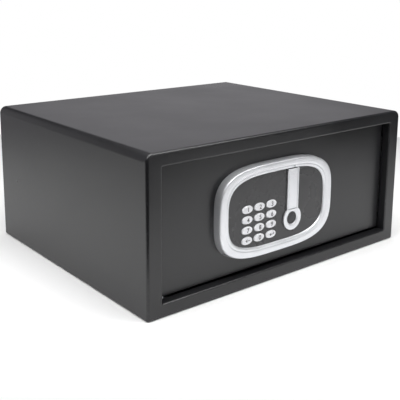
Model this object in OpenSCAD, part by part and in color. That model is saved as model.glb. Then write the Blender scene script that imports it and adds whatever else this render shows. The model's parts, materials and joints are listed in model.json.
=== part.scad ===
// In-room laptop safe: a wrapped steel body with a recessed, motor-bolted door.
// +X is the object's right, -Y its front and +Z up. The origin is the middle of the underside.

/* [Body] */
// Outside width of the body
body_w = 450; // [440:2:470]
// Outside depth from the front frame to the back panel
body_d = 376; // [360:2:420]
// Outside height of the body
body_h = 196; // [196:2:220]
// Steel thickness of the shell, the base plate and the back panel
shell_t = 2; // [1.5:0.5:2.5]
// Outside bend radius of the shell's two long edges at the top
shell_r = 10; // [8:1:12]
// Width of the front frame at the left and right of the door
frame_side = 21; // [20:1:24]
// Height of the front frame above and below the door
frame_bar = 17; // [17:1:20]
// Depth of the flange that returns inwards round the door opening
flange_d = 13; // [11:0.5:13]

/* [Door] */
// How far the door's face stands behind the front frame
recess = 12; // [11:0.5:12]
// Thickness of the door plate
door_t = 5; // [4:0.5:5]
// Gap between the door and the frame at the sides and the top
door_gap = 2; // [2:0.5:3]
// Gap under the door
door_sill_gap = 3; // [2:0.5:4]
// Depth of the inner tray that covers the lock works
tray_d = 36; // [36:1:40]
// Sheet thickness of the inner tray
tray_t = 1.5; // [1:0.5:2]
// Distance of the hinge axis from the body's left side
hinge_x = 34; // [34:1:36]
// Distance of the hinge axis behind the front frame
hinge_y = 24; // [24:0.5:24.5]
// Radius of the hinge pins
hinge_pin_r = 4; // [3:0.5:4]

/* [Bolts] */
// Radius of the two locking bolts
bolt_r = 9; // [8:0.5:9]
// Distance between the two locking bolts
bolt_gap = 76; // [70:2:80]
// How far the locking bolts travel
bolt_travel = 18; // [14:1:18]
// Distance of the bolt axes behind the front frame
bolt_y = 34; // [33:0.5:35]
// Radial clearance of every sliding or turning fit
running = 0.05; // [0.03:0.01:0.08]

/* [Keypad unit] */
// Middle of the keypad unit, measured from the body's middle
unit_x = -18; // [-20:1:0]
// Middle of the keypad unit, measured from the underside
unit_z = 97; // [95:0.5:100]
// Half width of the bezel where it meets the door
bezel_a = 101; // [98:1:103]
// Half height of the bezel where it meets the door
bezel_b = 60.5; // [59:0.5:62]
// Half width of the window inside the bezel
window_a = 85; // [82:0.5:85]
// Half height of the window inside the bezel
window_b = 47; // [45:0.5:47]
// Squareness of the bezel's rounded outline
bezel_power = 3.5; // [2.5:0.1:4]
// Distance between two keys in a row
key_pitch_x = 20.7; // [20:0.1:22]
// Distance between two keys in a column
key_pitch_z = 13.5; // [12.6:0.1:13.6]
// Width of a key
key_w = 17.6; // [16:0.2:18]
// Height of a key
key_h = 10.1; // [9:0.1:10.5]
// How far a key can be pressed
key_travel = 1; // [0.6:0.1:1]
// Width of the upright strip beside the keys
strip_w = 20.4; // [20:0.1:23]
// Outside radius of the ring at the foot of the strip
ring_r = 16; // [14:0.5:16]
// Radius of the hole in the ring
ring_hole_r = 8.5; // [6:0.5:8.5]

/* [Hidden] */
$fn = 48;

// Planes and edges of the body and the door.
cut = 1;
left = -body_w / 2;
right = body_w / 2;
front = -body_d / 2;
back = body_d / 2;
door_front = front + recess;
door_back = door_front + door_t;
door_left = left + frame_side + door_gap;
door_right = -door_left;
door_low = frame_bar + door_sill_gap;
door_high = body_h - frame_bar - door_gap;
door_mid = (door_low + door_high) / 2;
pivot_x = left + hinge_x;
pivot_y = front + hinge_y;

// The inner tray on the back of the door.
tray_left = pivot_x + 12;
tray_right = door_right - 8;
tray_low = door_low + 7;
tray_high = door_high - 7;
tray_back = door_back + tray_d;
tray_lip = 6;
screw_r = 1.9;
screw_head_r = 2.8;
screw_head_t = 2;
screw_gap = 0.1;

// Hinges: arms on the door turn on pins that stand in brackets on the body.
arm_t = 5;
arm_low_z = door_low + 2;
arm_high_z = door_high - 2 - arm_t;
bracket_t = 4;
bracket_low_z = door_low - 8;
bracket_high_z = door_high + 8 - bracket_t;
bracket_right = pivot_x + 11;
bracket_front = front + flange_d + 1.5;
bracket_back = pivot_y + 12;
bush_r = hinge_pin_r + 2;
collar_r = hinge_pin_r + 2.5;
collar_gap = 0.8;

// Locking bolts, the plate that carries them, and their rack and pinion.
bolt_axis_y = front + bolt_y;
bolt_tip_x = tray_right + 2;
bolt_len = 45;
bolt_low_z = door_mid - bolt_gap / 2;
bolt_high_z = door_mid + bolt_gap / 2;
stud_r = 4;
carrier_t = 6;
carrier_x = bolt_tip_x - bolt_len;
tooth_m = 1;
pinion_teeth = 16;
pitch_r = tooth_m * pinion_teeth / 2;
rack_pitch = PI * tooth_m;
rack_z = door_mid - 6.5;
rack_t = 3;
rack_left = carrier_x - 104;
rack_top = rack_z + 22;
pinion_x = carrier_x - 46;
pinion_z = rack_z - pitch_r;
post_r = 4;
post_z = rack_z + 12;
posts_x = [pinion_x - 30, pinion_x + 22];
slot_gap = 0.3;
post_stop = rack_t / 2 + 0.7;
guide_x = tray_right - 11;
guide_t = 4;
strike_x = right - frame_side + 1.5;
strike_t = 3;
strike_front = front + flange_d + 2.5;
strike_back = bolt_axis_y + 18;
strike_low_z = bolt_low_z - 20;
strike_high_z = bolt_high_z + 20;
gearbox_back = bolt_axis_y - 8;
gearbox_post_r = 4;
pinion_shaft_r = 2;

// Layers of the keypad unit, front to back.
crest_y = front + 1;
shoulder_y = front + 4;
bezel_wall = 5;
fascia_front = front + 4;
fascia_back = fascia_front + 2;
key_front = fascia_front - 1.4;
flange_front = fascia_back + 0.1;
flange_t = 0.8;
mat_front = flange_front + flange_t + key_travel + 0.3;
mat_back = mat_front + 1.5;
board_t = 1.6;
keypad_x = unit_x - 33;
keypad_z = unit_z - 14.8;
strip_x = unit_x + 25.6;
ring_z = unit_z - 21;
strip_front = fascia_front - 2.2;
rail_w = 2.2;
flap_w = strip_w - 2 * rail_w - 0.6;
flap_t = 1.7;
flap_y = strip_front + 1.1;
flap_z = ring_z + ring_r - 2.5;
flap_top = unit_z + window_b - 1.2;
flap_pin_r = 0.5;
lock_x = strip_x;
lock_z = unit_z + 22.5;
lock_r = 6.5;
plug_r = 4.5;
lock_front = fascia_front + 0.5;
lock_back = door_back + 21;
cam_front = lock_back + 2;
cam_t = 2.5;
cam_shaft_r = 2.5;

// Battery box on the tray's inner face.
cell_r = 7.1;
cell_len = 50.5;
cell_pitch = 15;
box_x = tray_left + 48;
box_z = door_mid;
box_w = 64;
box_h = 64;
box_d = 18;
box_wall = 1.5;
cell_y = tray_back - tray_t - box_d / 2;

// Holes that bolt the body down or back, and the holes and screws of the door.
anchor_r = 5.5;
floor_anchor_x = 150;
floor_anchor_y = 100;
rear_anchor_x = 125;
rear_anchor_z = body_h / 2;
wire_hole_w = 46;
wire_hole_h = 24;
tray_screws_x = [tray_left + 20, (tray_left + tray_right) / 2, tray_right - 20];
unit_screw_x = 74;
unit_screw_z = 32;

function rounded_rect(w, h, r) = [
  for (corner = [0:3], step = [0:6])
    let (a = 90 * corner + 15 * step)
    let (cx = (corner == 0 || corner == 3) ? w / 2 - r : r - w / 2)
    let (cy = corner < 2 ? h / 2 - r : r - h / 2)
    [cx + r * cos(a), cy + r * sin(a)]];

function superellipse(a, b, power, steps) = [
  for (i = [0:steps - 1])
    let (t = 360 * i / steps)
    [a * sign(cos(t)) * pow(abs(cos(t)), 2 / power), b * sign(sin(t)) * pow(abs(sin(t)), 2 / power)]];

// Half angles of a pinion tooth at its root, pitch and tip radii, with backlash taken off.
tooth_form = [[-1.25, 5.9], [0, 4.5], [1, 1.7]];

function tooth_side(middle, side) = [
  for (p = tooth_form)
    let (a = middle + side * p[1])
    (pitch_r + p[0] * tooth_m) * [cos(a), sin(a)]];

function pinion_points() = [
  for (i = [0:pinion_teeth - 1])
    let (a = 90 - 180 / pinion_teeth - 360 * i / pinion_teeth)
    each concat(tooth_side(a, 1), [for (k = [2:-1:0]) tooth_side(a, -1)[k]])];

// A plate that lies in the XZ plane, from y0 back to y1.
module slab(y0, y1) {
  translate([0, y1, 0])
    rotate([90, 0, 0])
      linear_extrude(y1 - y0)
        children();
}

module block(x0, x1, y0, y1, z0, z1) {
  translate([x0, y0, z0])
    cube([x1 - x0, y1 - y0, z1 - z0]);
}

module rod_y(x, z, r, y0, y1) {
  translate([x, y1, z])
    rotate([90, 0, 0])
      cylinder(h = y1 - y0, r = r);
}

module rod_x(y, z, r, x0, x1) {
  translate([x0, y, z])
    rotate([0, 90, 0])
      cylinder(h = x1 - x0, r = r);
}

module rod_z(x, y, r, z0, z1) {
  translate([x, y, z0])
    cylinder(h = z1 - z0, r = r);
}

// ---- Body ----

module floor_holes(r) {
  through = shell_t + 10;
  for (x = [-floor_anchor_x, floor_anchor_x], y = [-floor_anchor_y, floor_anchor_y])
    rod_z(x, y, r, -cut, through);
}

// Outline of the body seen from the front: round at the top, square at the bottom.
module shell_outline(inset) {
  x = body_w / 2 - inset;
  r = shell_r - inset;
  polygon(concat([[-x, inset], [x, inset]],
    [for (a = [0:7.5:90]) [x - r + r * cos(a), body_h - inset - r + r * sin(a)]],
    [for (a = [90:7.5:180]) [r - x + r * cos(a), body_h - inset - r + r * sin(a)]]));
}

// One sheet folded over the top and both sides, open at the bottom.
module outer_shell() {
  color([0.2, 0.2, 0.21])
    difference() {
      slab(front + shell_t, back) shell_outline(0);
      slab(front + shell_t - cut, back + cut) shell_outline(shell_t);
      block(left + shell_t, right - shell_t, front, back + cut, -cut, shell_t + cut);
    }
}

// Bottom sheet, welded between the shell's two sides.
module base_plate() {
  color([0.2, 0.2, 0.21])
    difference() {
      block(left + shell_t, right - shell_t, front + shell_t, back, 0, shell_t);
      floor_holes(anchor_r);
    }
}

// Face round the door opening, with a flange that returns inwards; welded to the shell's front edge.
module front_frame() {
  open_w = body_w - 2 * frame_side;
  open_h = body_h - 2 * frame_bar;
  color([0.2, 0.2, 0.21])
    difference() {
      union() {
        slab(front, front + shell_t) shell_outline(0);
        block(-open_w / 2 - shell_t, open_w / 2 + shell_t, front, front + flange_d,
          frame_bar - shell_t, body_h - frame_bar + shell_t);
      }
      block(-open_w / 2, open_w / 2, front - cut, front + flange_d + cut,
        frame_bar, body_h - frame_bar);
    }
}

module back_panel() {
  panel_gap = 0.1;
  color([0.2, 0.2, 0.21])
    difference() {
      slab(back - shell_t, back) shell_outline(shell_t + panel_gap);
      for (x = [-rear_anchor_x, rear_anchor_x])
        rod_y(x, rear_anchor_z, anchor_r, back - shell_t - cut, back + cut);
    }
}

module floor_mat() {
  pile = 3;
  washer_room = 4;
  mat_gap = shell_t + 3;
  color([0.12, 0.12, 0.13])
    difference() {
      block(left + mat_gap, right - mat_gap, bracket_back + 4, back - mat_gap, shell_t, shell_t + pile);
      floor_holes(anchor_r + washer_room);
    }
}

// Channel on the right wall whose two holes take the thrown bolts.
module bolt_strike() {
  color([0.35, 0.35, 0.36])
    difference() {
      union() {
        block(strike_x, strike_x + strike_t, strike_front, strike_back, strike_low_z, strike_high_z);
        block(strike_x, right - shell_t, strike_back - strike_t, strike_back,
          strike_low_z, strike_high_z);
      }
      for (z = [bolt_low_z, bolt_high_z])
        rod_x(bolt_axis_y, z, bolt_r + 1, strike_x - cut, strike_x + strike_t + cut);
    }
}

// Plate at height z that holds a hinge pin, and its leg, from leg_z0 up to leg_z1.
module hinge_bracket(z, leg_z0, leg_z1) {
  color([0.35, 0.35, 0.36])
    difference() {
      union() {
        block(left + shell_t, bracket_right, bracket_front, bracket_back, z, z + bracket_t);
        block(left + shell_r, bracket_right, bracket_back - bracket_t, bracket_back, leg_z0, leg_z1);
      }
      rod_z(pivot_x, pivot_y, hinge_pin_r, z - cut, z + bracket_t + cut);
    }
}

module hinge_bracket_lower() {
  hinge_bracket(bracket_low_z, shell_t, bracket_low_z);
}

module hinge_bracket_upper() {
  hinge_bracket(bracket_high_z, bracket_high_z + bracket_t, body_h - shell_t);
}

module hinge_pin_lower() {
  color([0.75, 0.75, 0.77]) {
    rod_z(pivot_x, pivot_y, hinge_pin_r, bracket_low_z, arm_low_z + arm_t + 2);
    rod_z(pivot_x, pivot_y, collar_r, bracket_low_z + bracket_t, arm_low_z - collar_gap);
  }
}

module hinge_pin_upper() {
  color([0.75, 0.75, 0.77]) {
    rod_z(pivot_x, pivot_y, hinge_pin_r, arm_high_z - 2, bracket_high_z + bracket_t);
    rod_z(pivot_x, pivot_y, collar_r, arm_high_z + arm_t + collar_gap, bracket_high_z);
  }
}

// ---- Door ----

module unit_screw_places() {
  for (sx = [-1, 1], sz = [-1, 1])
    translate([unit_x + sx * unit_screw_x, 0, unit_z + sz * unit_screw_z])
      children();
}

module tray_screw_places() {
  for (x = tray_screws_x, z = [tray_low - tray_lip / 2, tray_high + tray_lip / 2])
    translate([x, 0, z])
      children();
}

module door_plate() {
  lock_gap = 0.2;
  color([0.2, 0.2, 0.21])
    difference() {
      block(door_left, door_right, door_front, door_back, door_low, door_high);
      block(keypad_x - wire_hole_w / 2, keypad_x + wire_hole_w / 2, door_front - cut, door_back + cut,
        keypad_z - wire_hole_h / 2, keypad_z + wire_hole_h / 2);
      rod_y(lock_x, lock_z, lock_r + lock_gap, door_front - cut, door_back + cut);
      unit_screw_places()
        rod_y(0, 0, screw_r + screw_gap, door_front - cut, door_back + cut);
      tray_screw_places()
        rod_y(0, 0, screw_r + screw_gap, door_front + cut, door_back + cut);
    }
}

module door_tray() {
  hatch_w = box_w - 8;
  hatch_h = box_h - 8;
  bolt_gap_r = bolt_r + 0.4;
  color([0.2, 0.2, 0.21])
    difference() {
      union() {
        block(tray_left, tray_right, door_back, tray_back, tray_low, tray_high);
        block(tray_left, tray_right, door_back, door_back + tray_t,
          tray_low - tray_lip, tray_high + tray_lip);
      }
      block(tray_left + tray_t, tray_right - tray_t, door_back - cut, tray_back - tray_t,
        tray_low + tray_t, tray_high - tray_t);
      for (z = [bolt_low_z, bolt_high_z])
        rod_x(bolt_axis_y, z, bolt_gap_r, tray_right - tray_t - cut, tray_right + cut);
      block(box_x - hatch_w / 2, box_x + hatch_w / 2, tray_back - tray_t - cut, tray_back + cut,
        box_z - hatch_h / 2, box_z + hatch_h / 2);
      tray_screw_places()
        rod_y(0, 0, screw_r + screw_gap, door_back - cut, door_back + tray_t + cut);
    }
}

module tray_screws() {
  color([0.7, 0.7, 0.72])
    tray_screw_places() {
      rod_y(0, 0, screw_r, door_front + 2, door_back + tray_t + cut);
      rod_y(0, 0, screw_head_r, door_back + tray_t, door_back + tray_t + screw_head_t);
    }
}

module hinge_arm(z) {
  color([0.35, 0.35, 0.36])
    difference() {
      block(pivot_x - 9, pivot_x + 10, door_back, pivot_y + 9, z, z + arm_t);
      rod_z(pivot_x, pivot_y, bush_r, z - cut, z + arm_t + cut);
    }
}

module hinge_arm_lower() {
  hinge_arm(arm_low_z);
}

module hinge_arm_upper() {
  hinge_arm(arm_high_z);
}

module hinge_bushes() {
  color([0.72, 0.55, 0.3])
    for (z = [arm_low_z, arm_high_z])
      difference() {
        rod_z(pivot_x, pivot_y, bush_r, z - 0.5, z + arm_t + 0.5);
        rod_z(pivot_x, pivot_y, hinge_pin_r + running, z - cut, z + arm_t + cut);
      }
}

module bolt_guide() {
  foot_w = 16;
  foot_t = 3;
  low_z = bolt_low_z - 16;
  high_z = bolt_high_z + 16;
  color([0.6, 0.6, 0.62])
    difference() {
      union() {
        block(guide_x, guide_x + guide_t, door_back, bolt_axis_y + bolt_r + 2, low_z, high_z);
        block(guide_x + guide_t - foot_w, guide_x + guide_t, door_back, door_back + foot_t,
          low_z, high_z);
      }
      for (z = [bolt_low_z, bolt_high_z])
        rod_x(bolt_axis_y, z, bolt_r + running, guide_x - cut, guide_x + guide_t + cut);
    }
}

// Two flanged posts that carry the rack plate between their shoulders.
module guide_posts() {
  flange_r = post_r + 2.5;
  head = bolt_axis_y + post_stop;
  color([0.7, 0.7, 0.72])
    for (x = posts_x) {
      rod_y(x, post_z, post_r, door_back, head + 2);
      rod_y(x, post_z, flange_r, head, head + 2);
      rod_y(x, post_z, flange_r, door_back, bolt_axis_y - post_stop);
    }
}

// Gearbox on the door plate, with a round motor can lying at its left.
module gear_motor() {
  can_r = 6;
  can_y = door_back + can_r + 0.2;
  can_z = pinion_z - 6;
  can_right = pinion_x - 11;
  can_left = can_right - 29;
  cap_r = 2.5;
  collar = 3;
  color([0.55, 0.56, 0.58])
    difference() {
      union() {
        block(pinion_x - 12, pinion_x + 16, door_back, gearbox_back, pinion_z - 14, pinion_z + 12);
        rod_y(pinion_x, pinion_z, gearbox_post_r, gearbox_back - cut, gearbox_back + collar);
        rod_x(can_y, can_z, can_r, can_left, can_right);
        rod_x(can_y, can_z, cap_r, can_left - 2, can_left + cut);
      }
      rod_y(pinion_x, pinion_z, pinion_shaft_r + running, gearbox_back - 6, gearbox_back + collar + cut);
    }
}

module control_board() {
  board_w = 78;
  board_h = 44;
  x0 = lock_x - 84;
  z0 = tray_low + 8;
  board_y = door_back + 8;
  face = board_y + board_t;
  color([0.1, 0.35, 0.2])
    translate([x0, 0, z0]) {
      block(0, board_w, board_y, face, 0, board_h);
      // Processor, bolt-drive relay, battery plug and capacitor
      block(18, 32, face, face + 2, 12, 26);
      block(56, 72, face, face + 8, 6, 16);
      block(6, 12, face, face + 6, 14, 36);
      rod_y(64, 32, 6, face, face + 7);
      for (x = [4, board_w - 4], z = [4, board_h - 4])
        rod_y(x, z, 2.5, door_back, board_y);
    }
}

module battery_box() {
  box_back = tray_back - tray_t;
  color([0.1, 0.1, 0.1])
    difference() {
      block(box_x - box_w / 2, box_x + box_w / 2, box_back - box_d, box_back,
        box_z - box_h / 2, box_z + box_h / 2);
      block(box_x - box_w / 2 + box_wall, box_x + box_w / 2 - box_wall, box_back - box_d + box_wall,
        box_back + cut, box_z - box_h / 2 + box_wall, box_z + box_h / 2 - box_wall);
    }
}

// Places of the four cells, every second one turned end for end.
module cell_places() {
  for (i = [0:3])
    translate([box_x + (i - 1.5) * cell_pitch, cell_y, box_z])
      rotate([0, 180 * (i % 2), 0])
        children();
}

module batteries() {
  tip = 1;
  tip_r = 2.7;
  color([0.2, 0.35, 0.6])
    cell_places() {
      rod_z(0, 0, cell_r, -cell_len / 2, cell_len / 2 - tip);
      rod_z(0, 0, tip_r, cell_len / 2 - tip, cell_len / 2);
    }
}

// Each contact is a plate on the box's wall and a short post for its spring.
module battery_contacts() {
  inner = box_h / 2 - box_wall;
  plate = 0.5;
  color([0.75, 0.7, 0.55])
    cell_places()
      for (turn = [0, 180])
        rotate([0, turn, 0]) {
          rod_z(0, 0, 2.4, cell_len / 2, inner);
          rod_z(0, 0, 5, inner - plate, inner);
        }
}

// ---- Keypad unit ----

module unit_outline(a, b) {
  translate([unit_x, unit_z])
    polygon(superellipse(a, b, bezel_power, 72));
}

module bezel() {
  color([0.85, 0.85, 0.88])
    difference() {
      union() {
        slab(shoulder_y, door_front) unit_outline(bezel_a, bezel_b);
        slab(crest_y + 1, shoulder_y) unit_outline(bezel_a - 1.5, bezel_b - 1.5);
        slab(crest_y, crest_y + 1) unit_outline(bezel_a - 4.5, bezel_b - 4.5);
      }
      slab(crest_y - cut, door_front + cut) unit_outline(window_a, window_b);
      slab(fascia_front, door_front + cut) unit_outline(bezel_a - bezel_wall, bezel_b - bezel_wall);
      rod_y(strip_x, unit_z + window_b, 3.4, crest_y - cut, crest_y + 2);
    }
}

module bezel_screws() {
  color([0.7, 0.7, 0.72])
    unit_screw_places() {
      rod_y(0, 0, screw_r, fascia_back + 2, door_back + cut);
      rod_y(0, 0, screw_head_r, door_back, door_back + screw_head_t);
    }
}

module key_outline(grow) {
  polygon(superellipse(key_w / 2 + grow, key_h / 2 + grow, 2.1, 32));
}

// Places of the twelve keys: column 0 to 2 from the left, row 0 to 3 from the top.
module at_key(column, row) {
  translate([keypad_x + (column - 1) * key_pitch_x, keypad_z + (1.5 - row) * key_pitch_z])
    children();
}

module fascia() {
  pocket_w = 14;
  edge_gap = 0.3;
  key_gap = 0.35;
  color([0.16, 0.16, 0.17])
    difference() {
      union() {
        slab(fascia_front, fascia_back)
          unit_outline(bezel_a - bezel_wall - edge_gap, bezel_b - bezel_wall - edge_gap);
        unit_screw_places()
          rod_y(0, 0, 4.5, fascia_back - 0.5, door_front);
      }
      for (column = [0:2], row = [0:3])
        slab(fascia_front - cut, fascia_back + cut) at_key(column, row) key_outline(key_gap);
      block(strip_x - pocket_w / 2, strip_x + pocket_w / 2, fascia_front - cut, fascia_back + cut,
        flap_z + 4, flap_top - 4);
      unit_screw_places()
        rod_y(0, 0, screw_r + screw_gap, fascia_back + 1.5, door_front + cut);
    }
}

module flap_pin_rod() {
  reach = strip_w / 2 - 0.8;
  rod_x(flap_y, flap_z, flap_pin_r, strip_x - reach, strip_x + reach);
}

module strip_frame() {
  rail_gap = strip_w - 2 * rail_w;
  bevel = 2.5;
  color([0.85, 0.85, 0.88])
    difference() {
      union() {
        block(strip_x - strip_w / 2, strip_x + strip_w / 2, strip_front, fascia_front,
          ring_z, flap_top + 0.1);
        rod_y(strip_x, ring_z, ring_r, strip_front, fascia_front);
      }
      block(strip_x - rail_gap / 2, strip_x + rail_gap / 2, strip_front - cut, fascia_front + cut,
        flap_z - 1.3, flap_top + 2);
      rod_y(strip_x, ring_z, ring_hole_r, strip_front - cut, fascia_front + cut);
      translate([strip_x, strip_front + 1.5, ring_z])
        rotate([90, 0, 0])
          cylinder(h = 1.6, r1 = ring_hole_r - 0.1, r2 = ring_hole_r + bevel + 0.1);
      flap_pin_rod();
    }
}

module ring_lens() {
  color([0.08, 0.08, 0.09])
    rod_y(strip_x, ring_z, ring_hole_r - 0.1, fascia_front - 0.6, fascia_front);
}

module flap_pin() {
  color([0.7, 0.7, 0.72])
    flap_pin_rod();
}

module keypad_mat() {
  color([0.25, 0.25, 0.27]) {
    slab(mat_front, mat_back)
      translate([keypad_x, keypad_z])
        polygon(rounded_rect(3 * key_pitch_x + 2, 4 * key_pitch_z + 2, 3));
    for (column = [0:2], row = [0:3])
      slab(mat_front - 0.2, mat_front) at_key(column, row) circle(3);
  }
}

module keypad_board() {
  color([0.1, 0.35, 0.2]) {
    block(keypad_x - 35, keypad_x + 35, mat_back, mat_back + board_t,
      keypad_z - 2 * key_pitch_z - 2, unit_z + 34);
    for (x = [keypad_x - 32, keypad_x + 32])
      rod_y(x, unit_z + 31, 2, mat_back + board_t, door_front);
  }
}

module display_module() {
  color([0.05, 0.05, 0.05])
    block(keypad_x - 25, keypad_x + 25, fascia_back + 0.2, mat_back, unit_z + 14, unit_z + 30);
}

module lock_body() {
  color([0.75, 0.75, 0.77])
    difference() {
      rod_y(lock_x, lock_z, lock_r, lock_front, lock_back);
      rod_y(lock_x, lock_z, plug_r + running, lock_front - cut, lock_back + cut);
    }
}

module lock_nut() {
  nut_t = 4;
  color([0.7, 0.7, 0.72])
    difference() {
      translate([lock_x, door_back + nut_t, lock_z])
        rotate([90, 0, 0])
          cylinder(h = nut_t, r = lock_r + 4.5, $fn = 6);
      rod_y(lock_x, lock_z, lock_r, door_back - cut, door_back + nut_t + cut);
    }
}

// ---- Moving pieces ----

module locking_bolt(z) {
  tip = 1.5;
  color([0.85, 0.85, 0.87]) {
    rod_x(bolt_axis_y, z, bolt_r, carrier_x, bolt_tip_x - tip);
    translate([bolt_tip_x - tip, bolt_axis_y, z])
      rotate([0, 90, 0])
        cylinder(h = tip, r1 = bolt_r, r2 = bolt_r - tip);
    rod_x(bolt_axis_y, z, stud_r, carrier_x - carrier_t - 6, carrier_x);
  }
}

module bolt_upper() {
  locking_bolt(bolt_high_z);
}

module bolt_lower() {
  locking_bolt(bolt_low_z);
}

module rack_outline() {
  teeth = 14;
  first = pinion_x - 10 * rack_pitch;
  flank = tan(20) * tooth_m;
  half = rack_pitch / 4 - 0.12;
  translate([rack_left, rack_z + 1.25 * tooth_m])
    square([carrier_x - carrier_t - rack_left + cut, rack_top - rack_z - 1.25 * tooth_m]);
  for (i = [0:teeth - 1])
    translate([first + i * rack_pitch, rack_z])
      polygon([[-half - 1.3 * flank, 1.3 * tooth_m], [-half + flank, -tooth_m],
        [half - flank, -tooth_m], [half + 1.3 * flank, 1.3 * tooth_m]]);
}

module bolt_carrier() {
  color([0.6, 0.6, 0.62])
    difference() {
      union() {
        block(carrier_x - carrier_t, carrier_x, bolt_axis_y - 8, bolt_axis_y + 8,
          bolt_low_z - 12, bolt_high_z + 12);
        slab(bolt_axis_y - rack_t / 2, bolt_axis_y + rack_t / 2) rack_outline();
      }
      for (z = [bolt_low_z, bolt_high_z])
        rod_x(bolt_axis_y, z, stud_r, carrier_x - carrier_t - cut, carrier_x + cut);
      for (x = posts_x)
        block(x - post_r - slot_gap - bolt_travel, x + post_r + slot_gap, bolt_axis_y - rack_t,
          bolt_axis_y + rack_t, post_z - post_r - slot_gap, post_z + post_r + slot_gap);
    }
}

module bolt_nuts() {
  nut_t = 5;
  color([0.7, 0.7, 0.72])
    for (z = [bolt_low_z, bolt_high_z])
      difference() {
        translate([carrier_x - carrier_t - nut_t, bolt_axis_y, z])
          rotate([0, 90, 0])
            cylinder(h = nut_t, r = 7.5, $fn = 6);
        rod_x(bolt_axis_y, z, stud_r, carrier_x - carrier_t - nut_t - cut, carrier_x - carrier_t + cut);
      }
}

module drive_pinion() {
  color([0.72, 0.55, 0.3]) {
    slab(bolt_axis_y - 2.5, bolt_axis_y + 2.5)
      translate([pinion_x, pinion_z])
        polygon(pinion_points());
    rod_y(pinion_x, pinion_z, pinion_shaft_r, gearbox_back - 5, bolt_axis_y - 2);
    rod_y(pinion_x, pinion_z, 4, bolt_axis_y + 2.5, bolt_axis_y + 5);
  }
}

module key_flap() {
  color([0.82, 0.82, 0.86])
    difference() {
      union() {
        block(strip_x - flap_w / 2, strip_x + flap_w / 2, flap_y - flap_t / 2, flap_y + flap_t / 2,
          flap_z, flap_top);
        rod_x(flap_y, flap_z, flap_t / 2, strip_x - flap_w / 2, strip_x + flap_w / 2);
        // Three raised grip ribs near the flap's free edge
        for (i = [0:2])
          rod_x(flap_y - flap_t / 2 + 0.25, flap_top - 4 - 2.6 * i, 0.5,
            strip_x - flap_w / 2 + 2, strip_x + flap_w / 2 - 2);
      }
      rod_x(flap_y, flap_z, flap_pin_r + running, strip_x - flap_w / 2 - cut, strip_x + flap_w / 2 + cut);
    }
}

module lock_plug() {
  color([0.8, 0.7, 0.45])
    difference() {
      union() {
        rod_y(lock_x, lock_z, plug_r, lock_front - 0.1, cam_front);
        rod_y(lock_x, lock_z, cam_shaft_r, cam_front - cut, cam_front + cam_t + 1.5);
      }
      // Keyway
      block(lock_x - 0.8, lock_x + 0.8, lock_front - cut, lock_front + 9, lock_z - 3.2, lock_z + 3.2);
    }
}

module lock_cam() {
  color([0.7, 0.7, 0.72])
    difference() {
      slab(cam_front, cam_front + cam_t)
        translate([lock_x, lock_z + 8])
          polygon(rounded_rect(12, 28, 5));
      rod_y(lock_x, lock_z, cam_shaft_r, cam_front - cut, cam_front + cam_t + cut);
    }
}

module battery_cover() {
  cover_front = tray_back + 0.2;
  cover_back = cover_front + 2;
  rib_pitch = 4;
  rib_w = 1.5;
  rib_h = 20;
  color([0.14, 0.14, 0.15])
    translate([box_x, 0, box_z]) {
      slab(cover_front, cover_back)
        polygon(rounded_rect(box_w + 4, box_h + 2, 3));
      for (i = [-2:2])
        translate([rib_pitch * i - 26, 0, 0])
          block(-rib_w / 2, rib_w / 2, cover_back, cover_back + 0.8, -rib_h / 2, rib_h / 2);
    }
}

module keycap(column, row) {
  color([0.92, 0.92, 0.95]) {
    slab(key_front, flange_front) at_key(column, row) key_outline(0);
    slab(flange_front, flange_front + flange_t) at_key(column, row) key_outline(1.1);
  }
}

module key_1() { keycap(0, 0); }
module key_2() { keycap(1, 0); }
module key_3() { keycap(2, 0); }
module key_4() { keycap(0, 1); }
module key_5() { keycap(1, 1); }
module key_6() { keycap(2, 1); }
module key_7() { keycap(0, 2); }
module key_8() { keycap(1, 2); }
module key_9() { keycap(2, 2); }
module key_clear() { keycap(0, 3); }
module key_0() { keycap(1, 3); }
module key_enter() { keycap(2, 3); }

outer_shell();
base_plate();
front_frame();
back_panel();
floor_mat();
bolt_strike();
hinge_bracket_lower();
hinge_bracket_upper();
hinge_pin_lower();
hinge_pin_upper();
door_plate();
door_tray();
tray_screws();
hinge_arm_lower();
hinge_arm_upper();
hinge_bushes();
bolt_guide();
guide_posts();
gear_motor();
control_board();
battery_box();
batteries();
battery_contacts();
bezel();
bezel_screws();
fascia();
strip_frame();
ring_lens();
flap_pin();
keypad_mat();
keypad_board();
display_module();
lock_body();
lock_nut();
bolt_upper();
bolt_lower();
bolt_carrier();
bolt_nuts();
drive_pinion();
key_flap();
lock_plug();
lock_cam();
battery_cover();
key_1();
key_2();
key_3();
key_4();
key_5();
key_6();
key_7();
key_8();
key_9();
key_clear();
key_0();
key_enter();
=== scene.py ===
"""In-room safe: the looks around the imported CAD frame. Lengths are metres, in the row frame."""
import json
import math

import bmesh
import bpy
from mathutils import Matrix, Vector, noise


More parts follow.
